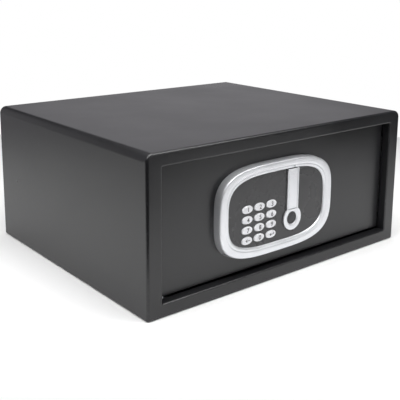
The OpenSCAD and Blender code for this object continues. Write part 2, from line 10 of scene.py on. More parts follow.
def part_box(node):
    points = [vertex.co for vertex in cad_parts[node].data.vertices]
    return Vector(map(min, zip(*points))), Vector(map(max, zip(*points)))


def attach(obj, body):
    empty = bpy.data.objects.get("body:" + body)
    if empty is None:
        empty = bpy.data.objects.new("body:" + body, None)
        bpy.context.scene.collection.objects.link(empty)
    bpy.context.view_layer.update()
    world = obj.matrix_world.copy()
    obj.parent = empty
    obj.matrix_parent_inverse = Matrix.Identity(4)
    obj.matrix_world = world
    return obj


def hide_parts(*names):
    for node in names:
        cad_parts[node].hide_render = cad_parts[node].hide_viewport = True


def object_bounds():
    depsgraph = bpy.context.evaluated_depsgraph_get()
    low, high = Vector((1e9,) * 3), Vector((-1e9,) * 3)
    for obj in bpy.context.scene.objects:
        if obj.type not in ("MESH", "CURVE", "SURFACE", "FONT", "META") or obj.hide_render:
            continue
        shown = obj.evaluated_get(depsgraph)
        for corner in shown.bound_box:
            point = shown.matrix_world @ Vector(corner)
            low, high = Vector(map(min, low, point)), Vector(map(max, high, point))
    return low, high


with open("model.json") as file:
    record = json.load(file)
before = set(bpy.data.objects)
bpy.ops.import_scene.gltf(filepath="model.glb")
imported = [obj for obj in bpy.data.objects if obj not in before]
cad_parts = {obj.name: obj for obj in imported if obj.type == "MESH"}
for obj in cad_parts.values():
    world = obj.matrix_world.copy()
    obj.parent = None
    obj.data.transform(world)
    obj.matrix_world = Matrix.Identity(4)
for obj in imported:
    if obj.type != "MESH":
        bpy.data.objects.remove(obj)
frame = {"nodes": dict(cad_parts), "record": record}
cad_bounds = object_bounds()
scene = bpy.context.scene

MM = 0.001
NODES = frame["nodes"]
BODY_OF = {node: body for body, nodes in frame["record"]["behaviour"]["bodies"].items() for node in nodes}
SLOT_OF = {part["node"]: part["material_slot"] for part in frame["record"]["subparts"]}
KEYS = [node for node in NODES if node.startswith("key_") and node != "key_flap"]
VIEW_TURN = math.radians(-39.15)  # The camera's turn about the upright axis.
# Where the floor's anchor holes stand.
ANCHORS = [(x, y) for x in (-150 * MM, 150 * MM) for y in (-100 * MM, 100 * MM)]
WELD = 0.002 * MM  # Points of a CAD mesh closer than this are one.


# ---- Camera, light and floor ----

def add_camera():
    """Stands at the front left, a little above the safe."""
    place = (-0.655, -0.807, 0.380)
    down, lean = 11.6, 0.4  # Degrees.
    data = bpy.data.cameras.new("camera")
    data.sensor_width = 36
    data.lens = 64.8
    data.shift_y = -0.18
    data.clip_end = 100
    camera = bpy.data.objects.new("camera", data)
    scene.collection.objects.link(camera)
    turn = Matrix.Rotation(VIEW_TURN, 4, "Z")
    tilt = Matrix.Rotation(math.radians(90 - down), 4, "X")
    roll = Matrix.Rotation(math.radians(lean), 4, "Z")
    camera.matrix_world = Matrix.Translation(place) @ turn @ tilt @ roll
    scene.camera = camera


# Name, place, the point it faces, width and height, and watts.
LIGHTS = (
    ("softbox_top", (0.0, -0.1, 1.6), (0, 0, 0), (1.6, 1.6), 21.5),
    ("softbox_back", (-0.45, 0.35, 1.5), (-0.35, 0.15, 0), (1.4, 1.4), 6.7),
    ("softbox_left", (-0.8, -0.2, 0.9), (-0.7, -0.15, 0), (0.6, 0.6), 4.5),
    ("softbox_front", (-0.1, -0.45, 0.9), (0, -0.2, 0), (0.8, 0.3), 3.1),
    ("softbox_right", (0.35, -0.5, 0.7), (0.3, -0.3, 0), (0.5, 0.3), 0.9),
    ("card_low", (0.4, -1.75, 0.55), (0, -0.19, 0.1), (1.3, 0.35), 3.6),
    ("softbox_edge", (0.56, -0.70, 1.0), (-0.1, -0.19, 0.19), (0.22, 0.22), 2.2),
)


def add_area_light(name, place, target, size, power):
    """A rectangular light at place that faces target."""
    data = bpy.data.lights.new(name, "AREA")
    data.shape = "RECTANGLE"
    data.size, data.size_y = size
    data.energy = power
    light = bpy.data.objects.new(name, data)
    light.location = place
    light.rotation_euler = (Vector(target) - Vector(place)).to_track_quat("-Z", "Y").to_euler()
    scene.collection.objects.link(light)


def add_studio():
    """White to the camera; two glows in the backdrop, softboxes and a low front card light the safe."""
    world = bpy.data.worlds.new("studio")
    scene.world = world
    world.use_nodes = True
    tree = world.node_tree
    tree.nodes.clear()
    direction = tree.nodes.new("ShaderNodeTexCoord").outputs["Generated"]

    def glow(toward, reach, amount):
        """Light from around one direction, fading out where the cosine to it falls to reach."""
        cosine = tree.nodes.new("ShaderNodeVectorMath")
        cosine.operation = "DOT_PRODUCT"
        cosine.inputs[1].default_value = Vector(toward).normalized()
        tree.links.new(direction, cosine.inputs[0])
        shade = tree.nodes.new("ShaderNodeMapRange")
        shade.interpolation_type = "SMOOTHSTEP"
        shade.inputs["From Min"].default_value = reach
        shade.inputs["To Max"].default_value = amount
        tree.links.new(cosine.outputs["Value"], shade.inputs["Value"])
        return shade.outputs["Result"]

    total = tree.nodes.new("ShaderNodeMath")
    total.operation = "ADD"
    tree.links.new(glow(toward=(0.62, 0.76, 0.2), reach=0.88, amount=0.54), total.inputs[0])
    tree.links.new(glow(toward=(-0.35, 0.93, 0.0), reach=0.75, amount=0.46), total.inputs[1])
    lighting = tree.nodes.new("ShaderNodeBackground")
    lighting.inputs["Color"].default_value = (0.975, 0.955, 1.0, 1)
    tree.links.new(total.outputs["Value"], lighting.inputs["Strength"])
    seen = tree.nodes.new("ShaderNodeBackground")
    seen.inputs["Color"].default_value = (1, 1, 1, 1)
    path = tree.nodes.new("ShaderNodeLightPath")
    choose = tree.nodes.new("ShaderNodeMixShader")
    output = tree.nodes.new("ShaderNodeOutputWorld")
    tree.links.new(path.outputs["Is Camera Ray"], choose.inputs["Fac"])
    tree.links.new(lighting.outputs["Background"], choose.inputs[1])
    tree.links.new(seen.outputs["Background"], choose.inputs[2])
    tree.links.new(choose.outputs["Shader"], output.inputs["Surface"])
    for light in LIGHTS:
        add_area_light(*light)


def add_floor():
    """A white table top, turned with the camera; the dark room beyond it shades the paint's upper parts."""
    half_length, half_width = 0.86, 0.575
    centre = (0.1, 0.1, -0.2 * MM)
    bm = bmesh.new()
    bmesh.ops.create_grid(bm, x_segments=8, y_segments=8, size=1)
    bmesh.ops.scale(bm, verts=bm.verts, vec=(half_length, half_width, 1))
    turned = Matrix.Translation(centre) @ Matrix.Rotation(VIEW_TURN, 4, "Z")
    bmesh.ops.transform(bm, matrix=turned, verts=bm.verts)
    mesh = bpy.data.meshes.new("floor")
    bm.to_mesh(mesh)
    bm.free()
    floor = bpy.data.objects.new("floor", mesh)
    scene.collection.objects.link(floor)
    finish = Finish("floor_paper", (0.93, 0.93, 0.93), 0.7)
    grain = finish.noise(scale=6, detail=3)
    finish.colour(grain, (0.92, 0.92, 0.92), (0.94, 0.94, 0.94))
    mesh.materials.append(finish.material)


# ---- Materials ----

class Finish:
    """A Principled material whose nodes are added one at a time."""

    def __init__(self, name, colour, roughness, metallic=0.0, **sockets):
        self.material = bpy.data.materials.new(name)
        self.material.use_nodes = True
        self.tree = self.material.node_tree
        self.shader = self.tree.nodes["Principled BSDF"]
        self.set("Base Color", (*colour, 1))
        self.set("Roughness", roughness)
        self.set("Metallic", metallic)
        for socket, value in sockets.items():
            self.set(socket.replace("_", " ").title().replace("Ior", "IOR"), value)
        self.place = self.node("ShaderNodeTexCoord").outputs["Object"]
        self.normal = None

    def set(self, socket, value):
        """Gives one of the shader's sockets a fixed value."""
        self.shader.inputs[socket].default_value = value

    def node(self, kind, **settings):
        """Adds a node with these settings."""
        made = self.tree.nodes.new(kind)
        for setting, value in settings.items():
            setattr(made, setting, value)
        return made

    def link(self, output, socket):
        self.tree.links.new(output, socket)

    def stretched(self, scale):
        """The place in the object, stretched by a scale along each axis."""
        mapping = self.node("ShaderNodeMapping")
        mapping.inputs["Scale"].default_value = scale
        self.link(self.place, mapping.inputs["Vector"])
        return mapping.outputs["Vector"]

    def noise(self, scale, detail=2, stretch=None):
        """Noise between 0 and 1, with about scale blotches per metre."""
        texture = self.node("ShaderNodeTexNoise")
        texture.inputs["Scale"].default_value = scale
        texture.inputs["Detail"].default_value = detail
        self.link(self.stretched(stretch) if stretch else self.place, texture.inputs["Vector"])
        return texture.outputs["Fac"]

    def spread(self, value, low, high, to_low=0.0, to_high=1.0):
        """Maps value from low..high to to_low..to_high, easing to a stop at both ends."""
        mapped = self.node("ShaderNodeMapRange", interpolation_type="SMOOTHSTEP")
        self.link(value, mapped.inputs["Value"])
        for socket, number in zip(("From Min", "From Max", "To Min", "To Max"), (low, high, to_low, to_high)):
            mapped.inputs[socket].default_value = number
        return mapped.outputs["Result"]

    def maths(self, operation, a, b=0):
        """One operation on numbers or sockets."""
        made = self.node("ShaderNodeMath", operation=operation)
        for socket, value in zip(made.inputs, (a, b)):
            if isinstance(value, (int, float)):
                socket.default_value = value
            else:
                self.link(value, socket)
        return made.outputs["Value"]

    def axis(self, letter):
        """One coordinate of the place in the object."""
        split = self.node("ShaderNodeSeparateXYZ")
        self.link(self.place, split.inputs["Vector"])
        return split.outputs[letter]

    def worn(self, scale, low=0.45, high=0.62):
        """Where an edge is rubbed: the mesh's wear attribute, broken up by noise."""
        edge = self.node("ShaderNodeAttribute", attribute_name="wear").outputs["Fac"]
        return self.maths("MULTIPLY", edge, self.spread(self.noise(scale, detail=3), low, high))

    def blend(self, factor, a, b):
        """Mixes two colours, each a tuple or a socket."""
        mixed = self.node("ShaderNodeMix", data_type="RGBA")
        self.link(factor, mixed.inputs["Factor"])
        for socket, value in ((mixed.inputs[6], a), (mixed.inputs[7], b)):
            if isinstance(value, tuple):
                socket.default_value = (*value, 1)
            else:
                self.link(value, socket)
        return mixed.outputs[2]

    def colour(self, factor, a, b):
        """The base colour: a and b mixed by factor."""
        self.link(self.blend(factor, a, b), self.shader.inputs["Base Color"])

    def rough(self, factor, low, high, from_low=0.3, from_high=0.7):
        """Roughness low..high as the factor goes through from_low..from_high."""
        self.link(self.spread(factor, from_low, from_high, low, high), self.shader.inputs["Roughness"])

    def bump(self, height, depth, strength=1.0):
        """Adds relief of that depth in metres on top of any relief already there."""
        relief = self.node("ShaderNodeBump")
        relief.inputs["Strength"].default_value = strength
        relief.inputs["Distance"].default_value = depth
        self.link(height, relief.inputs["Height"])
        if self.normal:
            self.link(self.normal, relief.inputs["Normal"])
        self.normal = relief.outputs["Normal"]
        self.link(self.normal, self.shader.inputs["Normal"])


def scaled(colour, factor, lift=0.0):
    """The colour made darker or lighter, and no brighter than white."""
    return tuple(min(1.0, factor * c + lift) for c in colour)


def powder_coat(name, colour, sheen_spread=0.06):
    """Baked satin paint: fine pebbled skin, faint cloudiness, lighter where an edge is rubbed."""
    roughness = 0.3
    finish = Finish(name, colour, roughness, specular_ior_level=0.5)
    clouds = finish.noise(scale=9, detail=3)
    pebbles = finish.noise(scale=1500)
    base = finish.blend(finish.spread(clouds, 0.2, 0.8), scaled(colour, 0.86), scaled(colour, 1.18))
    specks = finish.spread(finish.noise(scale=2600, detail=1), 0.62, 0.75)
    speckled = finish.blend(specks, base, scaled(colour, 1.9))
    finish.colour(finish.worn(220, 0.5, 0.75), speckled, scaled(colour, 3.2))
    finish.rough(clouds, roughness - sheen_spread / 2, roughness + sheen_spread / 2, 0.2, 0.8)
    finish.bump(pebbles, depth=0.035 * MM, strength=0.6)
    finish.bump(finish.noise(scale=260), depth=0.02 * MM, strength=0.5)
    return finish.material


def metal(name, colour, roughness, grain=(1, 1, 1), stain=0.75):
    """Bare or plated metal with a grain along one axis, faint stains and bright rubbed edges."""
    scratch = 0.3
    finish = Finish(name, colour, roughness, metallic=1.0)
    streaks = finish.noise(scale=700, detail=3, stretch=grain)
    clouds = finish.noise(scale=60, detail=4)
    base = finish.blend(finish.spread(clouds, 0.35, 0.7), scaled(colour, stain), colour)
    finish.colour(finish.worn(400), base, scaled(colour, 1.25))
    finish.rough(streaks, roughness * (1 - scratch), roughness * (1 + scratch))
    finish.bump(streaks, depth=0.006 * MM, strength=0.6)
    return finish.material


def moulded(name, colour, roughness, relief=0.01, scale=2000, variation=0.12, **sockets):
    """Injection-moulded plastic with a fine spark-eroded skin and slight gloss changes."""
    finish = Finish(name, colour, roughness, **sockets)
    clouds = finish.noise(scale=40, detail=3)
    low, high = scaled(colour, 1 - variation), scaled(colour, 1 + variation)
    base = finish.blend(finish.spread(clouds, 0.2, 0.8), low, high)
    finish.colour(finish.worn(500), base, scaled(colour, 1.35, lift=0.01))
    finish.rough(clouds, roughness * 0.88, roughness * 1.16, 0.2, 0.8)
    finish.bump(finish.noise(scale), depth=relief * MM, strength=0.7)
    return finish.material


def silver_paint(name):
    """Fine metallic paint on plastic: tiny flakes, slight orange peel."""
    finish = Finish(name, (0.73, 0.74, 0.77), 0.42, metallic=0.68, coat_weight=0.25, coat_roughness=0.25)
    flakes = finish.noise(scale=5200, detail=1)
    clouds = finish.noise(scale=30)
    base = finish.blend(finish.spread(clouds, 0.3, 0.7), (0.69, 0.70, 0.73), (0.76, 0.77, 0.80))
    sparkle = finish.blend(finish.spread(flakes, 0.35, 0.7), base, (0.83, 0.84, 0.86))
    finish.colour(finish.worn(350, 0.55, 0.75), sparkle, (0.68, 0.69, 0.72))
    finish.rough(flakes, 0.36, 0.48)
    finish.bump(flakes, depth=0.006 * MM, strength=0.5)
    finish.bump(finish.noise(scale=420), depth=0.012 * MM, strength=0.5)
    return finish.material


def carpet_felt(name):
    """Needle felt: crossed fibres, darker pits, dull sheen."""
    finish = Finish(name, (0.035, 0.036, 0.04), 0.95, sheen_weight=0.35, sheen_roughness=0.5)
    along = finish.noise(scale=900, detail=4, stretch=(1, 0.18, 1))
    across = finish.noise(scale=900, detail=4, stretch=(0.18, 1, 1))
    fibres = finish.maths("MAXIMUM", along, across)
    tufts = finish.noise(scale=120, detail=4)
    base = finish.blend(finish.spread(tufts, 0.3, 0.7), (0.022, 0.023, 0.026), (0.05, 0.051, 0.055))
    finish.colour(finish.spread(fibres, 0.55, 0.75), base, (0.09, 0.09, 0.1))
    finish.rough(fibres, 0.85, 1.0)
    finish.bump(fibres, depth=0.4 * MM)
    finish.bump(tufts, depth=0.5 * MM)
    return finish.material


def circuit_board(name, back_y):
    """Solder mask with copper tracks, and dark parts standing on the board's back."""
    finish = Finish(name, (0.02, 0.13, 0.06), 0.35)
    tracks_per_metre = 220
    tracks = finish.node("ShaderNodeTexBrick", offset=0.5)
    finish.link(finish.stretched((tracks_per_metre, 1, tracks_per_metre)), tracks.inputs["Vector"])
    tracks.inputs["Color1"].default_value = (0.02, 0.12, 0.055, 1)
    tracks.inputs["Color2"].default_value = (0.03, 0.16, 0.07, 1)
    tracks.inputs["Mortar"].default_value = (0.08, 0.26, 0.10, 1)
    behind = finish.maths("GREATER_THAN", finish.axis("Y"), back_y)
    finish.colour(behind, tracks.outputs["Color"], (0.02, 0.02, 0.022))
    finish.rough(finish.noise(scale=150), 0.28, 0.5)
    finish.bump(finish.noise(scale=900), depth=0.02 * MM)
    return finish.material


def cell_wrap(name):
    """Printed sleeve of an AA cell, with bare steel on the faces at its two ends."""
    finish = Finish(name, (0.05, 0.12, 0.32), 0.3)
    across = finish.node("ShaderNodeSeparateXYZ")
    finish.link(finish.node("ShaderNodeNewGeometry").outputs["True Normal"], across.inputs["Vector"])
    tilt = finish.maths("ABSOLUTE", across.outputs["Z"])
    ends = finish.spread(tilt, 0.85, 0.9)
    sleeve = finish.blend(finish.noise(scale=60), (0.04, 0.10, 0.30), (0.06, 0.15, 0.36))
    finish.colour(ends, sleeve, (0.62, 0.62, 0.60))
    finish.link(ends, finish.shader.inputs["Metallic"])
    finish.rough(finish.noise(scale=300), 0.22, 0.4)
    finish.bump(finish.noise(scale=500), depth=0.01 * MM)
    return finish.material


# Just past the control board's back: its posts are 8 mm long and the board is 1.6 mm thick.
BOARD_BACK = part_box("control_board")[0].y + 9.7 * MM
MATERIALS = {
    "body_paint": powder_coat("body_paint", (0.0115, 0.0115, 0.0128)),
    "inner_paint": powder_coat("inner_paint", (0.0135, 0.0135, 0.0148), 0.08),
    "carpet": carpet_felt("carpet"),
    "zinc_steel": metal("zinc_steel", (0.55, 0.57, 0.58), 0.36, stain=0.7),
    "bright_steel": metal("bright_steel", (0.66, 0.67, 0.69), 0.24, grain=(1, 1, 0.1)),
    "bolt_chrome": metal("bolt_chrome", (0.78, 0.79, 0.81), 0.14, grain=(0.08, 1, 1), stain=0.93),
    "bronze": metal("bronze", (0.66, 0.47, 0.24), 0.3, stain=0.8),
    "motor_case": metal("motor_case", (0.5, 0.51, 0.53), 0.33, grain=(1, 0.1, 1)),
    "silver_plastic": silver_paint("silver_plastic"),
    "smoked_plastic": moulded("smoked_plastic", (0.027, 0.027, 0.029), 0.28, relief=0.004, variation=0.06),
    "lens_plastic": moulded("lens_plastic", (0.014, 0.014, 0.017), 0.12, relief=0.002,
                            specular_ior_level=0.4),
    "key_plastic": moulded("key_plastic", (0.80, 0.80, 0.83), 0.28, relief=0.003, variation=0.03),
    "key_rubber": moulded("key_rubber", (0.05, 0.05, 0.055), 0.7, relief=0.02),
    "circuit_board": circuit_board("circuit_board", BOARD_BACK),
    "black_plastic": moulded("black_plastic", (0.022, 0.022, 0.024), 0.5, relief=0.025, scale=1400),
    "cell_wrap": cell_wrap("cell_wrap"),
}
KEY_PRINT = moulded("key_print", (0.045, 0.045, 0.048), 0.45, relief=0.002)


# ---- Mesh helpers ----

def loft(rings, closed=False, capped=False):
    """Joins rings of points with quads. A ring is (points, wear); closed joins the last ring to the first."""
    bm = bmesh.new()
    wear = bm.verts.layers.float.new("wear")
    rows = []
    for points, worn in rings:
        rows.append([bm.verts.new(point) for point in points])
        for vert in rows[-1]:
            vert[wear] = worn
    following = rows[1:] + rows[:1] if closed else rows[1:]
    for row, after in zip(rows, following):
        for i in range(len(row)):
            j = (i + 1) % len(row)
            bm.faces.new((row[i], row[j], after[j], after[i]))
    if capped:
        bm.faces.new(rows[0])
        bm.faces.new(rows[-1])
    bmesh.ops.recalc_face_normals(bm, faces=bm.faces)
    return bm


def applied(obj):
    """Replaces the object's mesh by what its modifiers make of it."""
    depsgraph = bpy.context.evaluated_depsgraph_get()
    made = bpy.data.meshes.new_from_object(
        obj.evaluated_get(depsgraph), preserve_all_data_layers=True, depsgraph=depsgraph)
    obj.modifiers.clear()
    obj.data = made


def as_object(name, bm, materials):
    """Turns a bmesh into an object in the scene."""
    mesh = bpy.data.meshes.new(name)
    bm.to_mesh(mesh)
    bm.free()
    for material in materials:
        mesh.materials.append(material)
    obj = bpy.data.objects.new(name, mesh)
    scene.collection.objects.link(obj)
    return obj


def cut_away(obj, cutter):
    """Cuts a solid, given as a bmesh, out of the object."""
    tool = as_object("cutter", cutter, [])
    difference = obj.modifiers.new("cut", "BOOLEAN")
    difference.operation = "DIFFERENCE"
    difference.solver = "EXACT"
    difference.object = tool
    applied(obj)
    bpy.data.objects.remove(tool)


def smoothed(obj, angle=32):
    """Smooth shading that keeps large faces flat and edges over the angle sharp."""
    obj.data.shade_smooth()
    obj.data.set_sharp_from_angle(angle=math.radians(angle))
    normals = obj.modifiers.new("normals", "WEIGHTED_NORMAL")
    normals.keep_sharp = True
    applied(obj)
    return obj


def placed(obj, *nodes):
    """The piece stands in for these CAD nodes, which it hides, and rides on their body."""
    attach(obj, BODY_OF[nodes[0]])
    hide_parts(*nodes)
    return obj


def cylinder(radius, start, end, segments):
    """A closed cylinder between two points, as a bmesh."""
    bm = bmesh.new()
    start, end = Vector(start), Vector(end)
    bmesh.ops.create_cone(bm, cap_ends=True, segments=segments, radius1=radius, radius2=radius,
                          depth=(end - start).length)
    turn = (end - start).to_track_quat("Z", "Y").to_matrix().to_4x4()
    bmesh.ops.transform(bm, matrix=Matrix.Translation((start + end) / 2) @ turn, verts=bm.verts)
    return bm


def bevelled(node, width):
    """The CAD node's own shape with its outer edges rounded off."""
    flat, sharp = math.radians(0.6), math.radians(32)
    bm = bmesh.new()
    bm.from_mesh(NODES[node].data)
    bmesh.ops.remove_doubles(bm, verts=bm.verts, dist=WELD)
    bmesh.ops.dissolve_limit(bm, angle_limit=flat, verts=bm.verts, edges=bm.edges)
    wear = bm.verts.layers.float.new("wear")
    edges = [edge for edge in bm.edges
             if len(edge.link_faces) == 2 and edge.is_convex and edge.calc_face_angle() > sharp]
    rounded = bmesh.ops.bevel(bm, geom=edges, offset=width, offset_type="OFFSET", segments=2,
                              profile=0.5, affect="EDGES", clamp_overlap=False)
    made = set(rounded["faces"])
    for vert in rounded["verts"]:
        vert[wear] = 1.0 if made.issuperset(vert.link_faces) else 0.0
    obj = as_object(node + "_finished", bm, [MATERIALS[SLOT_OF[node]]])
    return placed(smoothed(obj), node)


def islands(node):
    """The lowest and highest corners of each separate solid in a CAD node."""
    bm = bmesh.new()
    bm.from_mesh(NODES[node].data)
    bmesh.ops.remove_doubles(bm, verts=bm.verts, dist=WELD)
    left = set(bm.verts)
    found = []
    while left:
        queue = [left.pop()]
        corners = []
        while queue:
            vert = queue.pop()
            corners.append(vert.co.copy())
            for edge in vert.link_edges:
                other = edge.other_vert(vert)
                if other in left:
                    left.remove(other)
                    queue.append(other)
        found.append((Vector(map(min, zip(*corners))), Vector(map(max, zip(*corners)))))
    bm.free()
    return sorted(found, key=lambda box: tuple(round(v, 5) for v in box[0]))


# ---- Body ----

def rounded_ring(inset_x, inset_z, top_r, base_r, y):
    """A rectangle in the XZ plane, inset from the body's outside, with top and bottom corner radii."""
    low, high = cad_bounds
    left, right = low.x + inset_x, high.x - inset_x
    base, top = low.z + inset_z, high.z - inset_z
    steps = 8
    points = []
    corners = ((right, top, 1, 1, top_r), (left, top, -1, 1, top_r),
               (left, base, -1, -1, base_r), (right, base, 1, -1, base_r))
    for quarter, (x, z, side_x, side_z, radius) in enumerate(corners):
        for step in range(steps + 1):
            angle = math.radians(90 * (quarter + step / steps))
            points.append((x - side_x * radius + radius * math.cos(angle), y,
                           z - side_z * radius + radius * math.sin(angle)))
    return points


def outer_shell():
    """Body skin in one piece: folded cover, welded base and front frame, ground smooth and painted."""
    low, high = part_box("outer_shell")
    front, back = cad_bounds[0].y, high.y
    sheet = 2 * MM
    bend = 10 * MM  # Radius of the cover's long top edges.
    base = 2.6 * MM  # Radius of the long edges at the base.
    front_round = 3.4 * MM  # Radius around the front.
    frame_side = 21 * MM  # Width of the frame's uprights.
    frame_bar = 17 * MM  # Height of its bars.
    flange = 13 * MM  # Depth of the frame's fold around the opening.
    fold = 2.2 * MM  # Radius of that fold.
    corner = 1 * MM  # Radius of the opening's corners.
    least = 0.3 * MM
    back_rim = 0.4 * MM
    anchor_r = 5.5 * MM
    arc = [math.radians(15 * step) for step in range(7)]  # A quarter turn in six steps.
    rings = [
        (rounded_ring(0, 0, bend, base, back), 0.6),
        (rounded_ring(0, 0, bend, base, back - back_rim), 0.2),
    ]
    for t in arc:
        inset = front_round * (1 - math.cos(t))
        rings.append((rounded_ring(inset, inset, bend - inset, max(base - inset, least),
                                   front + front_round * (1 - math.sin(t))), 0.7 * math.sin(2 * t)))
    for t in arc:
        reach = fold * (1 - math.sin(t))
        rings.append((rounded_ring(frame_side - reach, frame_bar - reach, corner + reach, corner + reach,
                                   front + fold * (1 - math.cos(t))), math.sin(2 * t)))
    edge = 0.3 * MM
    inner = corner + sheet
    rings += [
        (rounded_ring(frame_side, frame_bar, corner, corner, front + flange - edge), 0.3),
        (rounded_ring(frame_side - edge, frame_bar - edge, corner + edge, corner + edge,
                      front + flange), 0.8),
        (rounded_ring(frame_side - sheet + edge, frame_bar - sheet + edge, inner - edge, inner - edge,
                      front + flange), 0.5),
        (rounded_ring(frame_side - sheet, frame_bar - sheet, inner, inner, front + flange - edge), 0.0),
        (rounded_ring(frame_side - sheet, frame_bar - sheet, inner, inner, front + sheet), 0.0),
        (rounded_ring(sheet, sheet, bend - sheet, least, front + sheet), 0.0),
        (rounded_ring(sheet, sheet, bend - sheet, least, back), 0.4),
    ]
    shell = as_object("body_shell", loft(rings, closed=True), [MATERIALS["body_paint"]])
    for x, y in ANCHORS:
        cut_away(shell, cylinder(anchor_r, (x, y, low.z - sheet), (x, y, low.z + 2 * sheet), segments=48))
    placed(smoothed(shell, angle=28), "outer_shell", "base_plate", "front_frame")


# ---- Keypad unit ----

def superellipse(half_x, half_z, power, centre, y, turns):
    """Points of a squared oval in the XZ plane, one for each angle in turns."""
    points = []
    for t in turns:
        c, s = math.cos(t), math.sin(t)
        points.append((centre.x + half_x * math.copysign(abs(c) ** (2 / power), c), y,
                       centre.z + half_z * math.copysign(abs(s) ** (2 / power), s)))
    return points


def even_turns(half_x, half_z, power, count):
    """Angles that space a squared oval's points evenly along its outline."""
    fine = 4000
    turns = [2 * math.pi * i / fine for i in range(fine + 1)]
    outline = superellipse(half_x, half_z, power, Vector((0, 0, 0)), 0, turns)
    travelled = [0.0]
    for before, after in zip(outline, outline[1:]):
        travelled.append(travelled[-1] + (Vector(after) - Vector(before)).length)
    chosen, i = [], 0
    for k in range(count):
        goal = travelled[-1] * k / count
        while travelled[i + 1] <= goal:
            i += 1
        turn, length = turns[i + 1] - turns[i], travelled[i + 1] - travelled[i]
        chosen.append(turns[i] + turn * (goal - travelled[i]) / length)
    return chosen


def bezel():
    """Oval surround: side wall, wide crowned band, fine groove, inner lip and a notch over the strip."""
    low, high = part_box("bezel")
    centre = (low + high) / 2
    half_x, half_z = (high.x - low.x) / 2, (high.z - low.z) / 2
    window_x, window_z = 85 * MM, 47 * MM
    notch_r, notch_depth = 3.6 * MM, 2.2 * MM
    power = 3.5
    door_y = high.y
    # Share of the way from the outside to the window, millimetres above the door, and wear.
    section = [
        (0.000, 0.0, 0), (0.018, 3.0, 0), (0.040, 6.4, 0), (0.053, 8.2, 0.1), (0.068, 9.4, 0.5),
        (0.088, 10.15, 0.9), (0.115, 10.58, 0.6), (0.155, 10.82, 0.2), (0.225, 10.95, 0), (0.330, 11.0, 0),
        (0.450, 11.0, 0), (0.560, 10.93, 0.1), (0.630, 10.76, 0.1), (0.664, 10.5, 0), (0.685, 10.26, 0),
        (0.702, 10.18, 0), (0.720, 10.24, 0), (0.745, 10.38, 0.3), (0.780, 10.45, 0.5), (0.835, 10.36, 0.2),
        (0.900, 10.05, 0), (0.952, 9.6, 0), (0.984, 9.05, 0), (1.000, 8.0, 0),
        (0.320, 8.0, 0), (0.310, 7.8, 0), (0.310, 0.0, 0),
    ]
    turns = even_turns(half_x, half_z, power, count=288)
    rings = []
    for share, height, worn in section:
        rings.append((superellipse(half_x + (window_x - half_x) * share, half_z + (window_z - half_z) * share,
                                   power, centre, door_y - height * MM, turns), worn))
    piece = as_object("bezel_finished", loft(rings, closed=True), [MATERIALS["silver_plastic"]])
    strip_low, strip_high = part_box("strip_frame")
    x, z = (strip_low.x + strip_high.x) / 2, centre.z + window_z
    cut_away(piece, cylinder(notch_r, (x, low.y - MM, z), (x, low.y + notch_depth, z), segments=48))
    placed(smoothed(piece, angle=40), "bezel")


def stroke(points, width):
    """A flat line of that width through points in the XZ plane, as quads with square ends."""
    bm = bmesh.new()
    for start, end in zip(points, points[1:]):
        along = (Vector(end) - Vector(start)).normalized()
        side = Vector((-along.y, along.x)) * width / 2
        a, b = Vector(start) - along * width / 2, Vector(end) + along * width / 2
        bm.faces.new([bm.verts.new((p.x, 0, p.y)) for p in (a + side, a - side, b - side, b + side)])
    return bm


# Arrows on the keys without a digit: the shaft and two barbs, as millimetres from the mark's middle.
ARROWS = {
    "key_clear": (((3.4, 0), (-3.0, 0)),
                  ((-3.2, 0), (-1.3, 1.6)), ((-3.2, 0), (-1.3, -1.6))),
    "key_enter": (((3.4, 1.7), (3.4, -0.4), (-2.8, -0.4)),
                  ((-3.2, -0.4), (-1.5, 1.0)), ((-3.2, -0.4), (-1.5, -1.8))),
}


def digit_mark(text, height):
    """A digit as a flat mesh in the XZ plane, its middle at the origin."""
    digit_share = 0.7  # A digit's height in a font of size 1.
    bolder = 0.03 * height
    curve = bpy.data.curves.new("digit", "FONT")
    curve.body = text
    curve.size = height / digit_share
    curve.offset = bolder
    curve.align_x = "CENTER"
    holder = bpy.data.objects.new("digit", curve)
    scene.collection.objects.link(holder)
    mesh = bpy.data.meshes.new_from_object(holder.evaluated_get(bpy.context.evaluated_depsgraph_get()))
    bpy.data.objects.remove(holder)
    bm = bmesh.new()
    bm.from_mesh(mesh)
    bpy.data.meshes.remove(mesh)
    bmesh.ops.rotate(bm, verts=bm.verts, matrix=Matrix.Rotation(math.radians(90), 3, "X"))
    high = max(v.co.z for v in bm.verts)
    low = min(v.co.z for v in bm.verts)
    middle = (max(v.co.x for v in bm.verts) + min(v.co.x for v in bm.verts)) / 2
    bmesh.ops.translate(bm, verts=bm.verts, vec=(-middle, 0, -(high + low) / 2))
    return bm


def key_mark(node):
    """The digit, or the arrow that stands for clear or enter."""
    if node not in ARROWS:
        return digit_mark(node[-1], 5.7 * MM)
    bm = bmesh.new()
    for line in ARROWS[node]:
        merge(bm, stroke([(x * MM, z * MM) for x, z in line], 0.9 * MM))
    return bm


def merge(bm, other, matrix=None, material_index=0):
    """Adds another bmesh to bm, moved by a matrix where one is given."""
    if matrix is not None:
        bmesh.ops.transform(other, matrix=matrix, verts=other.verts)
    for face in other.faces:
        face.material_index = material_index
    mesh = bpy.data.meshes.new("part")
    other.to_mesh(mesh)
    other.free()
    bm.from_mesh(mesh)
    bpy.data.meshes.remove(mesh)


